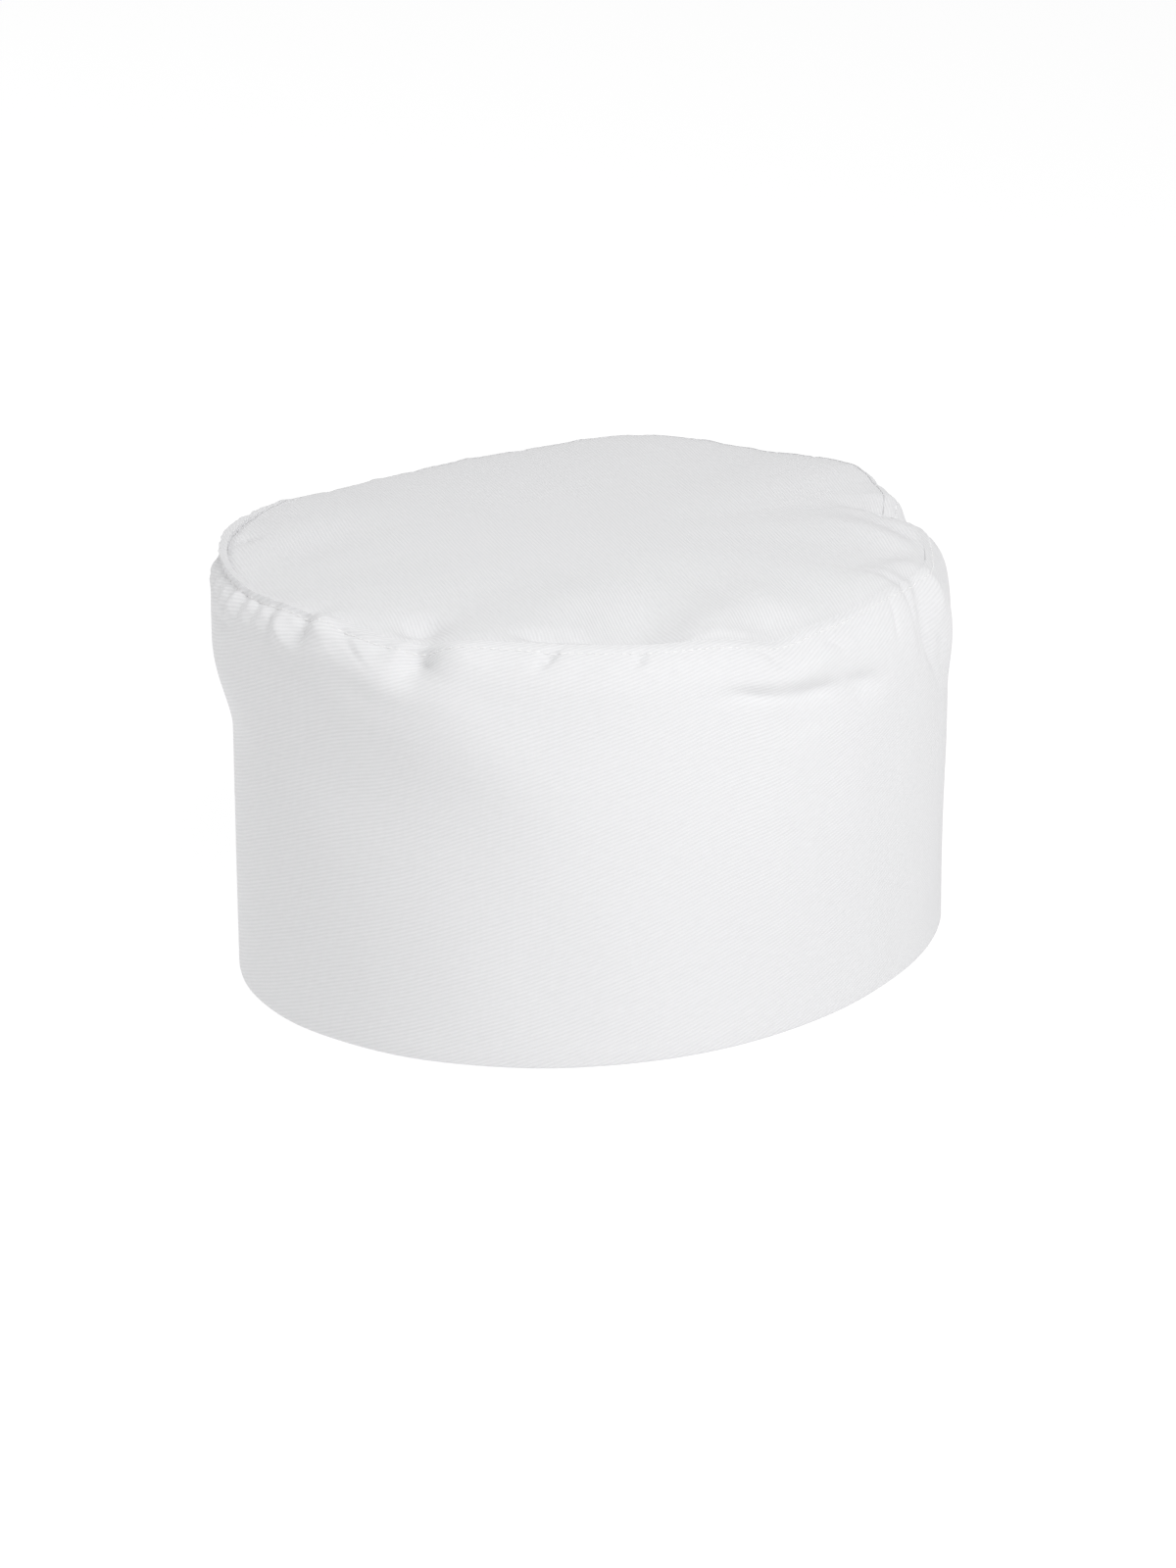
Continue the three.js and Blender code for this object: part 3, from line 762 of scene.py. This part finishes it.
class Finish:
    """One material, while its nodes are being added."""

    def __init__(self, name):
        self.material = bpy.data.materials.new(name)
        self.material.use_nodes = True
        self.tree = self.material.node_tree
        self.tree.nodes.clear()

    def node(self, kind, settings=None, inputs=None, output=0):
        """A new node's output, as add_node gives it."""
        given = inputs or {}
        sockets = {name: value.socket if isinstance(value, Wire) else value for name, value in given.items()}
        return Wire(self, add_node(self.tree, kind, settings, sockets, output))

    def noise(self, place, kind):
        """Smooth random values, about 0 to 1."""
        scale, detail = kind
        return self.node("ShaderNodeTexNoise", None, {"Vector": place, "Scale": scale, "Detail": detail})

    def grey(self, shade):
        """A colour of three equal parts."""
        return self.node("ShaderNodeCombineColor", None, {0: shade, 1: shade, 2: shade})

    def surface(self, inputs):
        """The finished material, of one plain surface with these inputs."""
        skin = self.node("ShaderNodeBsdfPrincipled", None, inputs)
        add_node(self.tree, "ShaderNodeOutputMaterial", None, {"Surface": skin.socket})
        return self.material


def twill_finish(name, angle):
    """White twill: slanting ribs made of short floats, with painted shade down in the grooves between them,
    uneven yarn, and a soft bloom of loose fibre.
    """
    finish = Finish(name)
    place = finish.node("ShaderNodeUVMap", {"uv_map": "cloth"})
    u = finish.node("ShaderNodeSeparateXYZ", None, {0: place}, "X")
    v = finish.node("ShaderNodeSeparateXYZ", None, {0: place}, "Y")
    drift = finish.noise(place, DRIFT_NOISE)
    cos = math.cos(math.radians(angle)) / (TWILL_SPACING * MM)
    sin = math.sin(math.radians(angle)) / (TWILL_SPACING * MM)
    rib_at = v * cos - u * sin + drift * RIB_DRIFT
    along = u * cos + v * sin
    rib = rib_at.wave()
    stitch = (along * FLOATS_PER_RIB + rib_at.whole() * FLOAT_STEP).wave()
    yarn_place = finish.node("ShaderNodeCombineXYZ", None, {"X": along * YARN_LENGTHWISE, "Y": rib_at})
    yarn = finish.noise(yarn_place, YARN_NOISE) - 0.5
    fuzz = finish.noise(place, FUZZ_NOISE) - 0.5
    cloud = finish.noise(place, CLOUD_NOISE) - 0.5
    height = rib * (1 - FLOAT_HEIGHT + FLOAT_HEIGHT * stitch) + YARN_HEIGHT * yarn + FUZZ_HEIGHT * fuzz
    # the rib term paints shade into the grooves between ribs; the yarn, fuzz and cloud terms are the
    # cotton's own uneven tone
    shade = GROOVE_PAINTED_SHADE + RIB_PAINTED_SHADE_LIFT * rib + YARN_SHADE * yarn + FUZZ_SHADE * fuzz + CLOUD_SHADE * cloud
    tone = finish.node(
        "ShaderNodeMix",
        {"data_type": "RGBA", "blend_type": "MULTIPLY"},
        {0: 1.0, 6: (*WHITE_COTTON, 1.0), 7: finish.grey(shade)},
        2,
    )
    weave = {"Strength": 1.0, "Distance": TWILL_DEPTH * MM, "Height": height}
    return finish.surface(
        {
            "Base Color": tone,
            "Roughness": COTTON_ROUGHNESS + FUZZ_ROUGHNESS * fuzz,
            "Normal": finish.node("ShaderNodeBump", None, weave),
            "Sheen Weight": COTTON_SHEEN,
            "Sheen Roughness": SHEEN_ROUGHNESS,
            "Specular IOR Level": COTTON_SPECULAR,
        }
    )


def thread_finish():
    """White sewing thread with a fine lay."""
    finish = Finish("white_thread")
    place = finish.node("ShaderNodeTexCoord", None, None, "Object")
    lay = finish.noise(place, LAY_NOISE)
    return finish.surface(
        {
            "Base Color": finish.grey(THREAD_SHADE + LAY_SHADE * (lay - 0.5)),
            "Roughness": THREAD_ROUGHNESS + LAY_ROUGHNESS * lay,
            "Specular IOR Level": THREAD_SPECULAR,
        }
    )


def floor_finish():
    """Plain pale floor with a glow of its own, so that it stays as bright as the room."""
    finish = Finish("pale_floor")
    place = finish.node("ShaderNodeTexCoord", None, None, "Object")
    grain = finish.noise(place, GRAIN_NOISE)
    return finish.surface(
        {
            "Base Color": FLOOR_GREY,
            "Roughness": FLOOR_ROUGHNESS + FLOOR_GRAIN * grain,
            "Emission Color": WHITE,
            "Emission Strength": FLOOR_GLOW,
            "Specular IOR Level": 0.0,
        }
    )


def build_floor():
    """A round floor under the cap, wide enough to fill the view."""
    mesh = bpy.data.meshes.new("floor")
    turns = np.linspace(0, 2 * np.pi, FLOOR_SIDES, False)
    ring = [(FLOOR_RADIUS * math.cos(turn), FLOOR_RADIUS * math.sin(turn), 0.0) for turn in turns]
    mesh.from_pydata(ring, [], [tuple(range(len(ring)))])
    floor = bpy.data.objects.new("floor", mesh)
    bpy.context.scene.collection.objects.link(floor)
    floor.data.materials.append(floor_finish())


def build_lamp(lamp):
    """A lamp of the table, facing the middle of the cap."""
    light = bpy.data.lights.new(lamp["name"], "AREA")
    light.size = lamp["size"]
    light.energy = lamp["power"]
    azimuth = math.radians(lamp["azimuth"])
    elevation = math.radians(lamp["elevation"])
    flat = math.cos(elevation)
    back = Vector((math.sin(azimuth) * flat, -math.cos(azimuth) * flat, math.sin(elevation)))
    holder = bpy.data.objects.new(lamp["name"], light)
    holder.location = back * lamp["distance"] + Vector((0, 0, CAP_HEIGHT / 2 * MM))
    holder.rotation_euler = (-back).to_track_quat("-Z", "Y").to_euler()
    bpy.context.scene.collection.objects.link(holder)


def build_light():
    """A plain bright room, and the lamps."""
    world = bpy.data.worlds.new("soft_room")
    world.use_nodes = True
    background = world.node_tree.nodes["Background"]
    background.inputs["Color"].default_value = WHITE
    background.inputs["Strength"].default_value = WORLD_LIGHT
    bpy.context.scene.world = world
    for lamp in as_rows(LAMP_COLUMNS, LAMPS):
        build_lamp(lamp)


def build_camera():
    """The photograph's viewpoint, with everything in focus."""
    camera = bpy.data.cameras.new("photo_view")
    camera.lens = CAMERA_LENS
    camera.sensor_width = CAMERA_SENSOR
    camera.clip_start, camera.clip_end = CAMERA_CLIP
    holder = bpy.data.objects.new("photo_view", camera)
    holder.location = CAMERA_AT
    holder.rotation_euler = Euler((math.radians(90 - CAMERA_ELEVATION), 0.0, math.radians(CAMERA_AZIMUTH)))
    bpy.context.scene.collection.objects.link(holder)
    bpy.context.scene.camera = holder


build_camera()
band = build_band()
band.data.materials.append(twill_finish("band_twill", BAND_TWILL_ANGLE))
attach(band, "root")
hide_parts("side_band")

stitches = build_stitches(thread_finish())
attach(stitches, "root")

panel = build_panel()
panel.data.materials.append(twill_finish("panel_twill", PANEL_TWILL_ANGLE))
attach(panel, "root")
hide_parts("top_panel")

build_floor()
build_light()
bpy.context.scene.view_settings.view_transform = "Standard"
